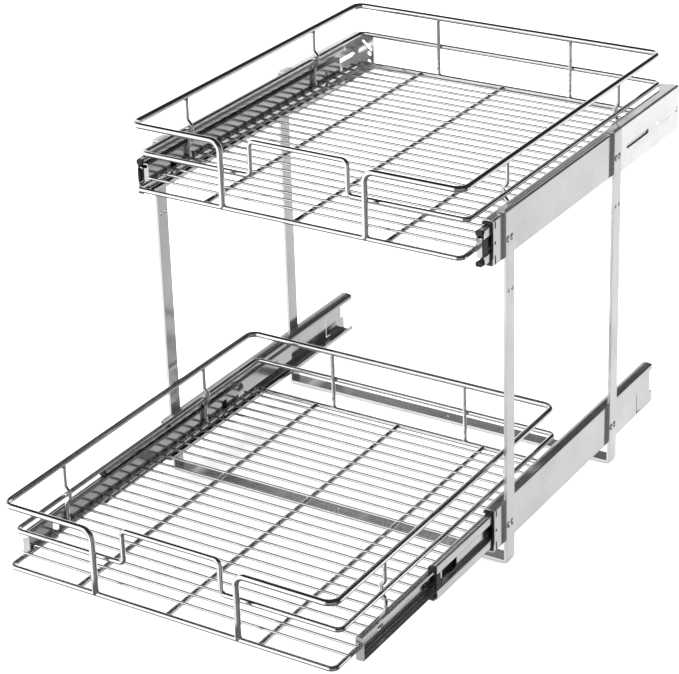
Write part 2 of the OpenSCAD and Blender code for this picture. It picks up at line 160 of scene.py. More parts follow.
def blob_into(bm, c, r, stretch=(1, 1, 1), seed=0, u=10, v=6):
    """Weld bead: a low, slightly uneven spheroid."""
    rng = random.Random(seed)
    c = Vector(c)
    k = [1 + 0.08 * (rng.random() - 0.5) for _ in range(3)]
    top = bm.verts.new((c + Vector((0, 0, r * stretch[2] * k[2]))) * MM)
    bot = bm.verts.new((c - Vector((0, 0, r * stretch[2] * k[2]))) * MM)
    rows = []
    for j in range(1, v):
        th = math.pi * j / v
        rows.append([bm.verts.new((c + Vector((r * stretch[0] * k[0] * math.sin(th) * math.cos(2 * math.pi * i / u),
                                               r * stretch[1] * k[1] * math.sin(th) * math.sin(2 * math.pi * i / u),
                                               r * stretch[2] * k[2] * math.cos(th)))) * MM) for i in range(u)])
    for i in range(u):
        bm.faces.new((top, rows[0][i], rows[0][(i + 1) % u]))
        bm.faces.new((rows[-1][(i + 1) % u], rows[-1][i], bot))
        for a, b in zip(rows, rows[1:]):
            bm.faces.new((a[i], b[i], b[(i + 1) % u], a[(i + 1) % u]))


def side_path(p, r, d, k):
    """One side of a bent strip in 2-D: path p moved d to its left, corners of centre-line radius r."""
    out, n = [], len(p)
    for i in range(n):
        q = Vector(p[i])
        if i in (0, n - 1):
            a, b = (Vector(p[0]), Vector(p[1])) if i == 0 else (Vector(p[-2]), Vector(p[-1]))
            u = (b - a).normalized()
            out.append(q + Vector((-u.y, u.x)) * d)
            continue
        u, v = (q - Vector(p[i - 1])).normalized(), (Vector(p[i + 1]) - q).normalized()
        a = math.atan2(u.x * v.y - u.y * v.x, u.dot(v))
        s, ri = (1 if a > 0 else -1), r[i]
        lu = Vector((-u.y, u.x))
        c = q - u * (ri * math.tan(abs(a) / 2)) + lu * (s * ri)
        for j in range(k + 1):
            t = a * j / k
            w = lu * s
            w = Vector((w.x * math.cos(t) - w.y * math.sin(t), w.x * math.sin(t) + w.y * math.cos(t)))
            out.append(c - w * (ri - s * d))
    return out


def strip(p, r, t, k=8):
    """Closed outline of a sheet t thick bent along path p."""
    return side_path(p, r, t / 2, k) + list(reversed(side_path(p, r, -t / 2, k)))


def new_object(name, bm, recalc=True):
    if recalc:
        bmesh.ops.recalc_face_normals(bm, faces=bm.faces)
    me = bpy.data.meshes.new(name)
    bm.to_mesh(me)
    bm.free()
    ob = bpy.data.objects.new(name, me)
    COL.objects.link(ob)
    return ob


def prism(outline, a, b, plane="xz", name="tmp"):
    """Outline (2-D, mm) drawn out from a to b. plane xz: along Y. xy: along Z. yz: along X."""
    put = {"xz": lambda p, t: (p[0], t, p[1]), "xy": lambda p, t: (p[0], p[1], t), "yz": lambda p, t: (t, p[0], p[1])}[plane]
    bm = bmesh.new()
    lo = [bm.verts.new(Vector(put(p, a)) * MM) for p in outline]
    hi = [bm.verts.new(Vector(put(p, b)) * MM) for p in outline]
    n = len(outline)
    for i in range(n):
        bm.faces.new((lo[i], lo[(i + 1) % n], hi[(i + 1) % n], hi[i]))
    bm.faces.new(lo)
    bm.faces.new(list(reversed(hi)))
    return new_object(name, bm)


def circle2(cx, cy, r, n=28):
    return [(cx + r * math.cos(2 * math.pi * i / n), cy + r * math.sin(2 * math.pi * i / n)) for i in range(n)]


def slot2(x0, y0, x1, y1, w, n=10):
    """Outline of a long hole w wide with round ends centred on the two points."""
    a = math.atan2(y1 - y0, x1 - x0)
    out = [(x1 + w / 2 * math.cos(a - math.pi / 2 + math.pi * i / n), y1 + w / 2 * math.sin(a - math.pi / 2 + math.pi * i / n)) for i in range(n + 1)]
    out += [(x0 + w / 2 * math.cos(a + math.pi / 2 + math.pi * i / n), y0 + w / 2 * math.sin(a + math.pi / 2 + math.pi * i / n)) for i in range(n + 1)]
    return out


def rect2(x0, y0, x1, y1, r=0.0, n=4):
    if r <= 0:
        return [(x0, y0), (x1, y0), (x1, y1), (x0, y1)]
    out = []
    for cx, cy, a0 in ((x1 - r, y0 + r, -90), (x1 - r, y1 - r, 0), (x0 + r, y1 - r, 90), (x0 + r, y0 + r, 180)):
        out += [(cx + r * math.cos(math.radians(a0 + 90 * i / n)), cy + r * math.sin(math.radians(a0 + 90 * i / n))) for i in range(n + 1)]
    return out


def joined(obs, name):
    bm = bmesh.new()
    for o in obs:
        bm.from_mesh(o.data)
        bpy.data.objects.remove(o)
    return new_object(name, bm, recalc=False)


def applied(ob):
    """Bakes the modifiers into the mesh."""
    bpy.context.view_layer.update()
    dg = bpy.context.evaluated_depsgraph_get()
    me = bpy.data.meshes.new_from_object(ob.evaluated_get(dg))
    ob.modifiers.clear()
    ob.data = me
    return ob


def boolean(ob, tools, op="DIFFERENCE"):
    """Cuts with, or adds, each tool in turn."""
    for t in tools:
        m = ob.modifiers.new("b", "BOOLEAN")
        m.operation, m.object, m.solver = op, t, "EXACT"
    applied(ob)
    for t in tools:
        bpy.data.objects.remove(t)
    return ob


def softened(ob, w=0.15, segs=2, angle=35):
    """Rounds the sharp edges by w mm."""
    m = ob.modifiers.new("bevel", "BEVEL")
    m.width, m.segments, m.limit_method, m.angle_limit = w * MM, segs, "ANGLE", math.radians(angle)
    m.use_clamp_overlap, m.miter_outer = True, "MITER_ARC"
    return applied(ob)


def mirrored(ob, side):
    if side < 0:
        ob.data.transform(Matrix.Diagonal((-1, 1, 1, 1)))
        ob.data.flip_normals()
    return ob


def finish_piece(ob, name, node, mat, smooth=35, weigh=False):
    ob.name = name
    ob.data.name = name
    me = ob.data
    me.polygons.foreach_set("use_smooth", [True] * len(me.polygons))
    if smooth:
        me.set_sharp_from_angle(angle=math.radians(smooth))
    me.materials.clear()
    me.materials.append(mat)
    if weigh:
        m = ob.modifiers.new("normals", "WEIGHTED_NORMAL")
        m.mode, m.weight, m.keep_sharp = "FACE_AREA", 100, True
        me = applied(ob).data
        me.name = name
    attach(ob, BODY_OF[node])
    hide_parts(node)
    return ob


# ---------------------------------------------------------------- materials
def base_mat(name):
    m = bpy.data.materials.new(name)
    m.use_nodes = True
    nt = m.node_tree
    return m, nt, nt.nodes["Principled BSDF"]


def noise(nt, scale, detail=3.0, rough=0.55, stretch=None):
    tc = nt.nodes.new("ShaderNodeTexCoord")
    mp = nt.nodes.new("ShaderNodeMapping")
    mp.inputs["Scale"].default_value = stretch or (1, 1, 1)
    nz = nt.nodes.new("ShaderNodeTexNoise")
    nz.inputs["Scale"].default_value = scale
    nz.inputs["Detail"].default_value = detail
    nz.inputs["Roughness"].default_value = rough
    nt.links.new(tc.outputs["Object"], mp.inputs["Vector"])
    nt.links.new(mp.outputs["Vector"], nz.inputs["Vector"])
    return nz


def span(nt, src, lo, hi, a=0.3, b=0.7):
    r = nt.nodes.new("ShaderNodeMapRange")
    r.inputs["From Min"].default_value, r.inputs["From Max"].default_value = a, b
    r.inputs["To Min"].default_value, r.inputs["To Max"].default_value = lo, hi
    nt.links.new(src, r.inputs["Value"])
    return r.outputs["Result"]


def tint(nt, src, c0, c1, a=0.3, b=0.7):
    r = nt.nodes.new("ShaderNodeValToRGB")
    r.color_ramp.elements[0].position, r.color_ramp.elements[0].color = a, (*c0, 1)
    r.color_ramp.elements[1].position, r.color_ramp.elements[1].color = b, (*c1, 1)
    nt.links.new(src, r.inputs["Fac"])
    return r.outputs["Color"]


def bumped(nt, bsdf, layers):
    """layers: (height socket, strength, distance in metres), laid one over the other."""
    prev = None
    for src, st, dist in layers:
        b = nt.nodes.new("ShaderNodeBump")
        b.inputs["Strength"].default_value, b.inputs["Distance"].default_value = st, dist
        nt.links.new(src, b.inputs["Height"])
        if prev:
            nt.links.new(prev, b.inputs["Normal"])
        prev = b.outputs["Normal"]
    nt.links.new(prev, bsdf.inputs["Normal"])


def chrome():
    m, nt, b = base_mat("chrome_wire")
    b.inputs["Metallic"].default_value = 1.0
    broad, fine, haze = noise(nt, 70, 2), noise(nt, 900, 3), noise(nt, 28, 4)
    nt.links.new(tint(nt, broad.outputs["Fac"], (0.80, 0.81, 0.825), (0.86, 0.865, 0.875)), b.inputs["Base Color"])
    nt.links.new(span(nt, haze.outputs["Fac"], 0.015, 0.05), b.inputs["Roughness"])
    bumped(nt, b, [(broad.outputs["Fac"], 0.12, 0.0001), (fine.outputs["Fac"], 0.08, 0.00002)])
    return m


def zinc(name, c0, c1, r0, r1, stretch, metal=0.85):
    m, nt, b = base_mat(name)
    b.inputs["Metallic"].default_value = metal
    cloud, streak, grain = noise(nt, 22, 4), noise(nt, 1.0, 3, 0.6, stretch), noise(nt, 1400, 2)
    nt.links.new(tint(nt, cloud.outputs["Fac"], c0, c1, 0.35, 0.68), b.inputs["Base Color"])
    mix = nt.nodes.new("ShaderNodeMath")
    mix.operation = "ADD"
    nt.links.new(span(nt, streak.outputs["Fac"], r0, r1), mix.inputs[0])
    nt.links.new(span(nt, cloud.outputs["Fac"], 0.04, -0.04), mix.inputs[1])
    nt.links.new(mix.outputs[0], b.inputs["Roughness"])
    bumped(nt, b, [(streak.outputs["Fac"], 0.08, 0.00002), (grain.outputs["Fac"], 0.06, 0.00001)])
    return m


def plastic():
    m, nt, b = base_mat("black_plastic")
    b.inputs["Metallic"].default_value = 0.0
    fine, cloud = noise(nt, 1100, 3), noise(nt, 60, 3)
    nt.links.new(tint(nt, cloud.outputs["Fac"], (0.006, 0.006, 0.0065), (0.013, 0.013, 0.014)), b.inputs["Base Color"])
    nt.links.new(span(nt, fine.outputs["Fac"], 0.38, 0.56), b.inputs["Roughness"])
    bumped(nt, b, [(fine.outputs["Fac"], 0.3, 0.00006)])
    return m


def bearing():
    m, nt, b = base_mat("bearing_steel")
    b.inputs["Metallic"].default_value = 1.0
    fine, cloud = noise(nt, 1300, 3), noise(nt, 90, 3)
    nt.links.new(tint(nt, cloud.outputs["Fac"], (0.50, 0.50, 0.51), (0.66, 0.66, 0.67)), b.inputs["Base Color"])
    nt.links.new(span(nt, cloud.outputs["Fac"], 0.16, 0.3), b.inputs["Roughness"])
    bumped(nt, b, [(fine.outputs["Fac"], 0.15, 0.00003)])
    return m


CHROME, PLASTIC, BEARING = chrome(), plastic(), bearing()
RAIL = zinc("rail_steel", (0.59, 0.60, 0.595), (0.64, 0.65, 0.645), 0.12, 0.17, (900, 14, 900), 0.97)
INNER = zinc("inner_rail_steel", (0.52, 0.53, 0.525), (0.58, 0.59, 0.585), 0.14, 0.19, (900, 14, 900), 0.97)
BAR = zinc("strap_steel", (0.60, 0.605, 0.605), (0.65, 0.655, 0.655), 0.15, 0.21, (700, 700, 14), 0.92)
PLATE = zinc("bracket_steel", (0.80, 0.805, 0.805), (0.86, 0.865, 0.865), 0.13, 0.20, (700, 14, 700), 0.95)


# ---------------------------------------------------------------- straps and rivets
def strap(node, y):
    x, zt, zf = RX1 + ST / 2, RZ["upper"] + HALF + ST / 2, ST / 2
    o = prism(strip([(-x + 8, zt), (-x, zt), (-x, zf), (x, zf), (x, zt), (x - 8, zt)], [0, 1.9, 1.9, 1.9, 1.9, 0], ST, 10),
              y - SW / 2, y + SW / 2)
    tools = []
    for s in (-1, 1):
        for dy in (-3.6, 3.6):
            tools.append(prism(circle2(y + dy, RZ["upper"] - 54, 1.9), s * x - 5, s * x + 5, "yz"))
    tools.append(prism(circle2(0, y, 2.25), -2, 6, "xy"))
    boolean(o, [joined(tools, "t")])
    softened(o, 0.28, 2)
    finish_piece(o, "bar_" + node, node, BAR, weigh=True)


def rivets():
    bm = bmesh.new()
    prof = [(0, 1.25), (1.1, 1.22), (1.9, 1.05), (2.35, 0.8), (3.0, 0.72), (3.25, 0.5), (3.3, 0.2), (3.2, 0.0), (2.0, 0.0), (2.0, -ST - RT + 0.05)]
    n = 28
    for s in (-1, 1):
        for t in ("lower", "upper"):
            for y in STRAP_Y:
                for dy in (-3.6, 3.6):
                    c = Vector((RX1 + ST, y + dy, RZ[t] - 3))
                    rows = []
                    for r, h in prof[1:]:
                        rows.append([bm.verts.new(Vector((s * (c.x + h), c.y + r * math.cos(2 * math.pi * i / n), c.z + r * math.sin(2 * math.pi * i / n))) * MM) for i in range(n)])
                    tip = bm.verts.new(Vector((s * (c.x + prof[0][1]), c.y, c.z)) * MM)
                    for i in range(n):
                        bm.faces.new((tip, rows[0][i], rows[0][(i + 1) % n]))
                        for a, b in zip(rows, rows[1:]):
                            bm.faces.new((a[i], b[i], b[(i + 1) % n], a[(i + 1) % n]))
                    bm.faces.new(rows[-1])
    finish_piece(new_object("r", bm), "rivet_heads", "strap_rivets", BAR, 50)


def bracket(node, side):
    bt = 1.5
    x, h, z = RX1 + bt / 2, HALF + bt / 2, RZ["upper"]
    y1 = 366.0
    o = prism([(a, b + z) for a, b in strip([(x - 11.3, h), (x, h), (x, -h), (x - 11.3, -h)], [0, 1.7, 1.7, 0], bt, 8)], 226.5, y1 - 3)
    fl = prism(strip([(x, y1 - 3), (x, y1 - bt / 2), (RX1 - 21.7, y1 - bt / 2)], [0, 1.6, 0], bt, 8), z - HALF + 1, z + HALF - 1, "xy")
    # the flange's corners are cut round
    trim = prism(rect2(RX1 - 21.7, z - HALF + 1, RX1 + 8, z + HALF - 1, 3.0), y1 - 20, y1 + 5, "xz")
    boolean(fl, [trim], "INTERSECT")
    boolean(o, [fl], "UNION")
    tools = [prism(slot2(a + 2.5, z - 0.6, b - 2.5, z - 0.6, 5.0), x - 6, x + 6, "yz") for a, b in ((240.3, 291.3), (309.6, 360.6))]
    tools += [prism(circle2(px, pz, d / 2), y1 - 6, y1 + 3, "xz") for px, pz, d in ((RX1 - 16.3, z + 0.15, 5.2), (RX1 - 16.1, z - 8.65, 4.5))]
    tools.append(prism(slot2(RX1 - 18.1, z + 5, RX1 - 9.1, z + 13, 4.0), y1 - 6, y1 + 3, "xz"))
    boolean(o, [joined(tools, "t")])
    softened(o, 0.2, 2)
    mirrored(o, side)
    finish_piece(o, "plate_" + node, node, PLATE, weigh=True)


# ---------------------------------------------------------------- slides
def outer_rail(node, t, side):
    y0, z = -RAIL_F, RZ[t]
    xa, xb, h = RX0 + RT / 2, RX1 - RT / 2, HALF - RT / 2
    half = [(xb, h - 0.35), (188.0, h - 0.35), (187.3, h), (184.0, h), (183.3, h - 0.35), (xa, h - 0.35), (xa, HALF - 6)]
    sec = strip([(a, -b) for a, b in reversed(half)] + half,
                [0, 3.0, 0.9, 0.9, 0.9, 0.9, 1.2, 1.2, 0.9, 0.9, 0.9, 0.9, 3.0, 0], RT, 6)
    o = prism([(a, b + z) for a, b in sec], y0, y0 + RAIL_L)
    X = (RX1 - 3, RX1 + 2)
    tools = [prism(rect2(y0 + 2.4, z + a, y0 + 4.6, z + a + b, 0.6), *X, "yz") for a, b in ((14, 7), (-20.6, 8.6))]
    tools.append(prism(circle2(y0 + 3.5, z, 1.6), *X, "yz"))
    tools.append(prism(circle2(y0 + 253, z - 9.4, 2.0), *X, "yz"))
    tools.append(prism([(y0 + 312, z - 19), (y0 + 321, z - 19), (y0 + 321, z - 17.6), (y0 + 313.4, z - 17.6), (y0 + 313.4, z + 3), (y0 + 312, z + 3)], *X, "yz"))
    tools.append(prism(rect2(y0 + RAIL_L - 6, z - 8, y0 + RAIL_L + 3, z + 16, 1.0), *X, "yz"))
    boolean(o, [joined(tools, "t")])
    softened(o, 0.16, 2)
    mirrored(o, side)
    finish_piece(o, "rail_" + node, node, RAIL, weigh=True)


def plate2(x0, x1, h, r, n=6):
    """Plate section: its inboard corners are round with radius r."""
    out = [(x1 - 0.3, -h), (x1, -h + 0.3), (x1, h - 0.3), (x1 - 0.3, h)]
    for cz, a0 in ((h - r, 90), (r - h, 180)):
        out += [(x0 + r + r * math.cos(math.radians(a0 + 90 * i / n)), cz + r * math.sin(math.radians(a0 + 90 * i / n))) for i in range(n + 1)]
    return out


def end_piece(x0, x1, h, wx, wh, r, y, z):
    o = prism([(a, b + z) for a, b in plate2(x0, x1, h, r)], y, y + 7.5)
    boolean(o, [prism(rect2(x0 - 3, z - wh, wx, z + wh, 1.2), y - 1, y + 12)])
    return o


def mouth_bumper(node, t, side):
    z, y = RZ[t], -RAIL_F - 1
    o = end_piece(RX0 + 1.5, RX1 - RT - 0.05, HALF - RT - 0.4, MX1 + 0.25, MH + 0.35, 3.0, y, z)
    softened(o, 0.5, 3)
    mirrored(o, side)
    finish_piece(o, "bumper_" + node, node, PLASTIC, weigh=True)


def middle_rail(node, t, side):
    y0, z = -RAIL_F + MID_SET[t] - Q[t] / 2, RZ[t]
    xa, xb, h = MX0 + RT / 2, MX1 - RT / 2, MH - RT / 2
    xr, zr, lp = xb - RECESS, RECESS_H - RT / 2, 2.8
    half = [(xr, zr), (xb, zr), (xb, h + 0.25), (187.2, h + 0.25), (186.6, h - 0.1), (184.6, h - 0.1), (184.0, h + 0.25), (xa, h + 0.25), (xa, MH - lp)]
    sec = strip([(a, -b) for a, b in reversed(half)] + half,
                [0, 1.2, 0.7, 0.7, 0.7, 0.7, 1.2, 1, 1, 1, 1, 1.2, 0.7, 0.7, 0.7, 0.7, 1.2, 0], RT, 5)
    o = prism([(a, b + z) for a, b in sec], y0, y0 + MID_L)
    X = (MX1 - 8, MX1 - 2)
    tools = [prism(rect2(y0 - 2, z - 9.6, y0 + 7.2, z + 7.4, 0.8), *X, "yz"), prism(rect2(y0 + 16.5, z - 6.6, y0 + 44, z + 6.6, 1.2), *X, "yz")]
    tools += [prism(circle2(y0 + s, z, 2.5), *X, "yz") for s in (MID_L / 2, MID_L - 30)]
    boolean(o, [joined(tools, "t")])
    softened(o, 0.16, 2)
    mirrored(o, side)
    finish_piece(o, "rail_" + node, node, RAIL, weigh=True)


def middle_bumper(node, t, side):
    z, y = RZ[t], -RAIL_F + MID_SET[t] - 1 - Q[t] / 2
    o = end_piece(MX0 + 1.4, MX1 - RT - 0.05, MH - RT - 0.05, IX1 + 0.3, IH + 0.4, 0.6, y, z)
    boolean(o, [prism(rect2(MX0, z - RECESS_H - 0.3, MX0 + 10, z + RECESS_H + 0.3), y + 0.95, y + 13)])
    boolean(o, [prism(rect2(IX1 + 0.4, z - 7.5, IX1 + 2.1, z + 7.5, 0.5), y + 0.05, y + 7.7)], "UNION")
    stops = [prism([(a, z + s * b) for a, b in rect2(MX0 + 0.1, IH + 0.7, MX1 - RT - 0.3, MH - 0.1, 0.8)], y - 2.5, y + 0.9) for s in (-1, 1)]
    boolean(o, stops, "UNION")
    softened(o, 0.3, 2)
    mirrored(o, side)
    finish_piece(o, "bumper_" + node, node, PLASTIC, weigh=True)


def inner_rail(node, t, side):
    y0, z = -RAIL_F + INN_SET[t] - Q[t], RZ[t]
    xa, h = RX0 + RT / 2, IH - RT / 2
    half = [(xa, h), (183.4, h), (184.3, h - 0.55), (186.0, h - 0.55), (IX1, h - 0.1)]
    sec = strip([(a, -b) for a, b in reversed(half)] + half, [0, 0.9, 0.9, 0.9, 1.2, 1.2, 0.9, 0.9, 0.9, 0], RT, 6)
    o = prism([(a, b + z) for a, b in sec], y0, y0 + RAIL_L)
    tab = prism([(RX0 + 0.3, z - IH + 0.5), (IX1 - 0.6, z - IH + 0.5), (IX1, z - IH + 1.1), (IX1, z + 5.6), (RX0 + 0.9, z + 8), (RX0 + 0.3, z + 7.4)], y0, y0 + RT)
    boolean(o, [tab], "UNION")
    ys = (31.0, RAIL_L - 35)
    tools = [prism(rect2(y0 + s + 4.5, z - 5, y0 + s + 13.5, z + 5, 1.0), RX0 - 1, RX0 + 2, "yz") for s in ys]
    boolean(o, [joined(tools, "t")])
    z0 = z - 5.05 - FW / 2
    hooks = [prism(strip([(RX0 + 0.2, z0 - 0.65), (RX0 - 5.7, z0 - 0.65), (RX0 - 5.7, z0 + 2.2)], [0, 0.9, 0], 1.1, 8), y0 + s, y0 + s + 4.2) for s in ys]
    boolean(o, hooks, "UNION")
    softened(o, 0.16, 2)
    mirrored(o, side)
    finish_piece(o, "rail_" + node, node, INNER, weigh=True)


def cage(node, t, side, kind):
    s0, s1 = (96, 240) if kind == "outer" else (108, 250)
    row, hole = (OROW, 4.1) if kind == "outer" else (IROW, 4.3)
    xa, xb = (BX - 2.9, MX1 + 0.8) if kind == "outer" else (BX - 2.5, IX1 + 0.9)
    q = Q[t] * (0.25 if kind == "outer" else 0.75)
    y0, y1, z, ct = -RAIL_F + s0 - q, -RAIL_F + s1 - q, RZ[t], 0.6
    o = prism([(a, b + z) for a, b in strip([(xa, -row), (xb - ct / 2, -row), (xb - ct / 2, row), (xa, row)], [0, 0.8, 0.8, 0], ct, 6)], y0, y1)
    p = (y1 - y0 - 14) / 7
    if kind == "outer":
        cut = prism(rect2(y0 + 10, z - row + 4, y1 - 10, z + row - 4, 1.5), xb - 2, xb + 1, "yz")
    else:
        cut = prism(rect2(y0 - 2, z - 10.6, y1 + 2, z + 10.6), xb - 2, xb + 1, "yz")
    boolean(o, [cut])
    boolean(o, [joined([prism(circle2(BX, y0 + 7 + p * i, hole / 2, 20), z + s * row - 2, z + s * row + 2, "xy") for i in range(8) for s in (-1, 1)], "t")])
    softened(o, 0.08, 1)
    mirrored(o, side)
    finish_piece(o, "cage_" + node, node, BEARING)


def balls(node, t, kind):
    s0, s1 = (96, 240) if kind == "outer" else (108, 250)
    row, d = (OROW, 3.8) if kind == "outer" else (IROW, 4.0)
    q = Q[t] * (0.25 if kind == "outer" else 0.75)
    y0, p = -RAIL_F + s0 - q, (s1 - s0 - 14) / 7
    bm = bmesh.new()
    for sd in (-1, 1):
        for s in (-1, 1):
            for i in range(8):
                bmesh.ops.create_uvsphere(bm, u_segments=20, v_segments=12, radius=d / 2 * MM,
                                          matrix=Matrix.Translation(Vector((sd * BX, y0 + 7 + p * i, RZ[t] + s * row)) * MM))
    finish_piece(new_object("b", bm), "row_" + node, node, BEARING, 0)


# ---------------------------------------------------------------- baskets
def basket(t):
    yf, zb = -63.0 - Q[t], ZB[t]
    r8 = random.Random(11 if t == "upper" else 12)
    w = (2 * SX + 3) / 2

    def P(x, y, z):
        return (x, yf + y, zb + z)

    def sag(path, amp, seed):
        """Hand-bent wire is never quite straight: a small smooth drift along it."""
        g = random.Random(seed)
        a = [g.uniform(0, 6.28) for _ in range(3)]
        out = []
        for i, p in enumerate(path):
            s = p.x * 0.011 + p.y * 0.013
            out.append(Vector((p.x + amp * math.sin(s + a[0]), p.y + amp * math.sin(s * 1.3 + a[1]), p.z + amp * 0.6 * math.sin(s * 0.9 + a[2]))))
        return out

    # top rim
    bm = bmesh.new()
    path = rounded([P(-DROP, 0, 1.0), P(-DROP, 0, RIM_Z), P(-w, 0, RIM_Z), P(-w, RIM_D, RIM_Z), P(w, RIM_D, RIM_Z), P(w, 0, RIM_Z), P(DROP, 0, RIM_Z), P(DROP, 0, 1.0)], 10, n=10)
    tube_into(bm, sag(finer(path, 18), 0.12, 1), TW / 2, segs=24)
    for s in (-1, 1):
        blob_into(bm, P(s * DROP, -0.1, 2.2), 3.3, (1.25, 0.85, 0.75), seed=s + 5)
    finish_piece(new_object("o", bm), "wire_%s_top_rim" % t, t + "_top_rim", CHROME, 60)

    # middle wire with the pull handle's arch
    bm = bmesh.new()
    yb, m = RIM_D + UW / 2 + FW / 2, 12.0
    side = [(GRIP, 0)]
    path = rounded([P(-GRIP, m, MIDZ), P(-GRIP, m, RIM_Z + 1), P(GRIP, m, RIM_Z + 1), P(GRIP, m, MIDZ), P(SX, m, MIDZ), P(SX, yb, MIDZ), P(-SX, yb, MIDZ), P(-SX, m, MIDZ)],
                   [5, 5, 5, 5, 6, 6, 6, 6], closed=True, n=9)
    path = finer(path + [path[0]], 18)[:-1]
    tube_into(bm, sag(path, 0.1, 2), FW / 2, closed=True, segs=20)
    finish_piece(new_object("o", bm), "wire_%s_mid_rim" % t, t + "_mid_rim", CHROME, 60)

    # floor frame
    bm = bmesh.new()
    path = rounded([P(-SX, 0, 0), P(SX, 0, 0), P(SX, RIM_D, 0), P(-SX, RIM_D, 0)], 6, closed=True, n=9)
    path = finer(path + [path[0]], 18)[:-1]
    tube_into(bm, path, FW / 2, closed=True, segs=20)
    finish_piece(new_object("o", bm), "wire_%s_floor_frame" % t, t + "_floor_frame", CHROME, 60)

    # floor wires that run back, butted and welded to the frame
    bm = bmesh.new()
    lx = [-0.561 * SX, 0.0, 0.561 * SX]
    for k, x in enumerate(lx):
        path = [Vector(P(x, 1.4, 0)).lerp(Vector(P(x, RIM_D - 1.4, 0)), i / 24) for i in range(25)]
        tube_into(bm, sag(path, 0.08, 20 + k), FW / 2 - 0.02, segs=20, cap="chamfer")
        for y, d in ((2.6, 1), (RIM_D - 2.6, -1)):
            blob_into(bm, P(x, y, -0.1), 3.0, (1.05, 0.62, 0.86), seed=k * 2 + d)
    finish_piece(new_object("o", bm), "wire_%s_long_wires" % t, t + "_long_wires", CHROME, 60)

    # cross wires, pressed a little into the wires below at each weld
    bm = bmesh.new()
    cz = (FW + CW) / 2
    for i in range(25):
        y = 20 + 15.5 * i
        n = 48
        knots = [-SX] + lx + [SX]
        dip = [max(math.exp(-((x - kx) / 3.2) ** 2) for kx in knots) for x in [(-SX - 1.2) + (2 * SX + 2.4) * j / n for j in range(n + 1)]]
        dy = r8.uniform(-0.18, 0.18)
        tw = r8.uniform(-0.15, 0.15)
        path = []
        for j in range(n + 1):
            x = (-SX - 1.2) + (2 * SX + 2.4) * j / n
            path.append(Vector(P(x, y + dy + tw * x / SX, cz - 0.12 * dip[j])))
        tube_into(bm, path, CW / 2, segs=12, cap="round", seed=i)
        for k, kx in enumerate(knots):
            for s in (-1, 1):
                blob_into(bm, P(kx, y + dy + s * 1.0, cz - 1.35), 1.15, (1.0, 0.75, 0.55), seed=i * 10 + k, u=8, v=4)
    finish_piece(new_object("o", bm), "wire_%s_cross_wires" % t, t + "_cross_wires", CHROME, 60)

    # side uprights, stepped inwards round the middle wire
    bm = bmesh.new()
    k = (FW + UW) / 2
    for s in (-1, 1):
        for j, y in enumerate(UP_Y):
            pts = [P(s * SX, y, 1.2), P(s * SX, y, MIDZ - 9), P(s * (SX - k), y, MIDZ - 3.5), P(s * (SX - k), y, MIDZ + 3.5), P(s * SX, y, MIDZ + 9), P(s * SX, y, RIM_Z - 1.6)]
            tube_into(bm, finer(rounded(pts, [0, 3.6, 3.6, 3.6, 3.6, 0], n=7), 6), UW / 2, segs=18, cap="chamfer")
            blob_into(bm, P(s * SX, y, 2.4), 2.5, (1.15, 1.2, 0.5), seed=j)
            blob_into(bm, P(s * (SX + 0.3), y, RIM_Z - 2.9), 2.5, (1.1, 1.2, 0.5), seed=j + 3)
            blob_into(bm, P(s * (SX - 2.2), y, MIDZ), 1.5, (0.6, 1.3, 1.2), seed=j + 6)
    finish_piece(new_object("o", bm), "wire_%s_side_uprights" % t, t + "_side_uprights", CHROME, 60)

    # back uprights
    bm = bmesh.new()
    for s in (-1, 1):
        tube_into(bm, [Vector(P(s * DROP, RIM_D, 1.4)).lerp(Vector(P(s * DROP, RIM_D, RIM_Z - 1.8)), i / 8) for i in range(9)], UW / 2, segs=18, cap="chamfer")
        blob_into(bm, P(s * DROP, RIM_D, 2.5), 2.5, (1.2, 1.1, 0.5), seed=8)
        blob_into(bm, P(s * DROP, RIM_D, RIM_Z - 2.9), 2.5, (1.2, 1.1, 0.5), seed=9)
        blob_into(bm, P(s * DROP, RIM_D + 2.2, MIDZ), 1.5, (1.3, 0.6, 1.2), seed=10)
    finish_piece(new_object("o", bm), "wire_%s_back_uprights" % t, t + "_back_uprights", CHROME, 60)


strap("front_strap", STRAP_Y[0])
strap("rear_strap", STRAP_Y[1])
rivets()
for sd, s in (("left", -1), ("right", 1)):
    bracket(sd + "_rear_bracket", s)
    for t in ("upper", "lower"):
        pre = "%s_%s_" % (t, sd)
        outer_rail(pre + "outer_rail", t, s)
        mouth_bumper(pre + "mouth_bumper", t, s)
        middle_rail(pre + "middle_rail", t, s)
        middle_bumper(pre + "middle_bumper", t, s)
        inner_rail(pre + "inner_rail", t, s)
        cage(pre + "outer_cage", t, s, "outer")
        cage(pre + "inner_cage", t, s, "inner")
for t in ("upper", "lower"):
    balls(t + "_outer_balls", t, "outer")
    balls(t + "_inner_balls", t, "inner")
    basket(t)


# ---------------------------------------------------------------- floor, lights, world, camera
def floor():
    bm = bmesh.new()
    n, R = 96, 40.0
    ring = [bm.verts.new((R * math.cos(2 * math.pi * i / n), R * math.sin(2 * math.pi * i / n), 0)) for i in range(n)]
    bm.faces.new(ring)
    o = new_object("floor", bm)
    o.location = (0, 0, -0.0002)
    m, nt, b = base_mat("floor")
    b.inputs["Base Color"].default_value = (0.86, 0.86, 0.86, 1)
    b.inputs["Roughness"].default_value = 0.9
    b.inputs["Specular IOR Level"].default_value = 0.0
    nz = noise(nt, 3.0, 2)
    nt.links.new(tint(nt, nz.outputs["Fac"], (0.855, 0.855, 0.855), (0.865, 0.865, 0.865)), b.inputs["Base Color"])
    o.data.materials.append(m)
    o.visible_glossy = False
    return o


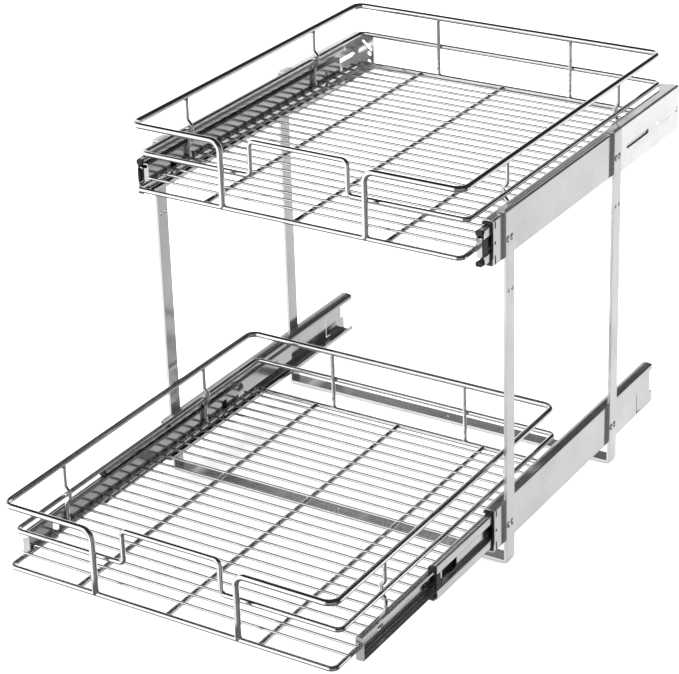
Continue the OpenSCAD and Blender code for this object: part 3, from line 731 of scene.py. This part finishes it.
def area(name, loc, target, size, power, size_y=None, glossy=True):
    d = bpy.data.lights.new(name, "AREA")
    d.shape, d.size, d.size_y, d.energy = "RECTANGLE", size, size_y or size, power
    o = bpy.data.objects.new(name, d)
    COL.objects.link(o)
    o.location = loc
    o.rotation_euler = (Vector(target) - Vector(loc)).to_track_quat("-Z", "Y").to_euler()
    o.visible_glossy = glossy
    return o


def lights():
    d = bpy.data.lights.new("overall", "SUN")
    d.energy, d.angle = 7.0, math.radians(120)
    o = bpy.data.objects.new("overall", d)
    COL.objects.link(o)
    o.visible_glossy = False


def world():
    """Studio surround, by direction: a wide soft box in front, a pale backdrop low behind, dark overhead."""
    w = bpy.data.worlds.new("studio")
    SC.world = w
    w.use_nodes = True
    nt = w.node_tree
    bg = nt.nodes["Background"]
    tc = nt.nodes.new("ShaderNodeTexCoord")
    sep = nt.nodes.new("ShaderNodeSeparateXYZ")
    nt.links.new(tc.outputs["Generated"], sep.inputs[0])
    x, y, z = sep.outputs

    def op(kind, a, b):
        n = nt.nodes.new("ShaderNodeMath")
        n.operation = kind
        for k, v in enumerate((a, b)):
            if isinstance(v, (int, float)):
                n.inputs[k].default_value = v
            else:
                nt.links.new(v, n.inputs[k])
        return n.outputs[0]

    def step(v, a, b, lo=0.0, hi=1.0, kind="SMOOTHSTEP"):
        n = nt.nodes.new("ShaderNodeMapRange")
        n.interpolation_type = kind
        n.inputs["From Min"].default_value, n.inputs["From Max"].default_value = a, b
        n.inputs["To Min"].default_value, n.inputs["To Max"].default_value = lo, hi
        nt.links.new(v, n.inputs["Value"])
        return n.outputs["Result"]

    dark, low = 0.025, 0.11
    # backdrop: brightest straight behind, fading out on the right, a little greyer on the left
    edge = op("SUBTRACT", op("MULTIPLY", x, 0.766), op("MULTIPLY", y, 0.643))
    fade = op("POWER", step(edge, -0.30, 0.12, kind="LINEAR"), 1.5)
    level = op("SUBTRACT", 1.10, op("MULTIPLY", fade, 1.02))
    level = op("SUBTRACT", level, step(x, -0.15, -0.5, 0.0, 0.15))
    zt = op("ADD", z, op("MULTIPLY", x, 0.30))          # its top edge comes down to the right
    back = op("MULTIPLY", level, step(zt, 0.34, 0.17))
    # soft box in front on the left, dim room in front on the right
    box = step(z, 0.74, 0.62, 0.0, 1.32)
    left = step(x, 0.12, -0.15)
    room = step(z, 0.5, 0.2, 0.0, 0.22)
    fr = op("ADD", op("MULTIPLY", box, left), op("MULTIPLY", room, op("SUBTRACT", 1.0, left)))
    f = step(y, 0.0, -0.28)
    sky = op("ADD", op("MULTIPLY", fr, f), op("MULTIPLY", back, op("SUBTRACT", 1.0, f)))
    # straight down it is grey
    edge_b, edge_f = step(z, -0.68, -0.55), step(z, -0.60, -0.50)
    up = op("ADD", op("MULTIPLY", edge_f, f), op("MULTIPLY", edge_b, op("SUBTRACT", 1.0, f)))
    total = op("ADD", op("MULTIPLY", sky, up), op("MULTIPLY", low, op("SUBTRACT", 1.0, up)))
    total = op("ADD", total, dark)
    nt.links.new(total, bg.inputs["Strength"])
    bg.inputs["Color"].default_value = (1, 1, 1, 1)


def glow(name, pts, strength, camera_only=False):
    """A luminous card or dome of the studio."""
    bm = bmesh.new()
    bm.faces.new([bm.verts.new(p) for p in pts])
    return lit(new_object(name, bm, recalc=False), strength, camera_only)


def lit(o, strength, camera_only):
    m = bpy.data.materials.new(o.name)
    m.use_nodes = True
    nt = m.node_tree
    nt.nodes.clear()
    e, out = nt.nodes.new("ShaderNodeEmission"), nt.nodes.new("ShaderNodeOutputMaterial")
    e.inputs["Strength"].default_value = strength
    nt.links.new(e.outputs[0], out.inputs[0])
    o.data.materials.append(m)
    o.visible_camera, o.visible_glossy = camera_only, not camera_only
    o.visible_diffuse = o.visible_shadow = o.visible_transmission = False
    return o


def studio():
    # a pale dome round everything, so that the background is white from every side
    bm = bmesh.new()
    bmesh.ops.create_uvsphere(bm, u_segments=48, v_segments=24, radius=45)
    lit(new_object("backdrop", bm), 1.02, True)
    # white card behind, on the right
    glow("card", [(0.78, 0.56, -0.42), (0.78, 0.56, 0.30), (1.9, 0.56, 0.30), (1.9, 0.56, -0.42)], 1.05)


def camera():
    az, el, roll = math.radians(31.575), math.radians(23.814), math.radians(-1.518)
    fwd = Vector((-math.sin(az) * math.cos(el), math.cos(az) * math.cos(el), -math.sin(el)))
    right = Vector((math.cos(az), math.sin(az), 0))
    up = right.cross(fwd)
    r2 = right * math.cos(roll) + up * math.sin(roll)
    u2 = -right * math.sin(roll) + up * math.cos(roll)
    d = bpy.data.cameras.new("camera")
    o = bpy.data.objects.new("camera", d)
    COL.objects.link(o)
    m = Matrix((r2, u2, -fwd)).transposed().to_4x4()
    m.translation = Vector((1.09932, -1.71305, 1.17307))
    o.matrix_world = m
    d.sensor_fit, d.sensor_width = "HORIZONTAL", 36.0
    d.lens = 2344.90 / 679 * 36
    d.shift_x, d.shift_y = -0.0493, -0.1208
    d.clip_start, d.clip_end = 0.05, 200
    SC.camera = o


floor()
lights()
world()
studio()
camera()
SC.view_settings.view_transform = "Standard"
SC.view_settings.look = "None"
SC.view_settings.exposure = 0.0
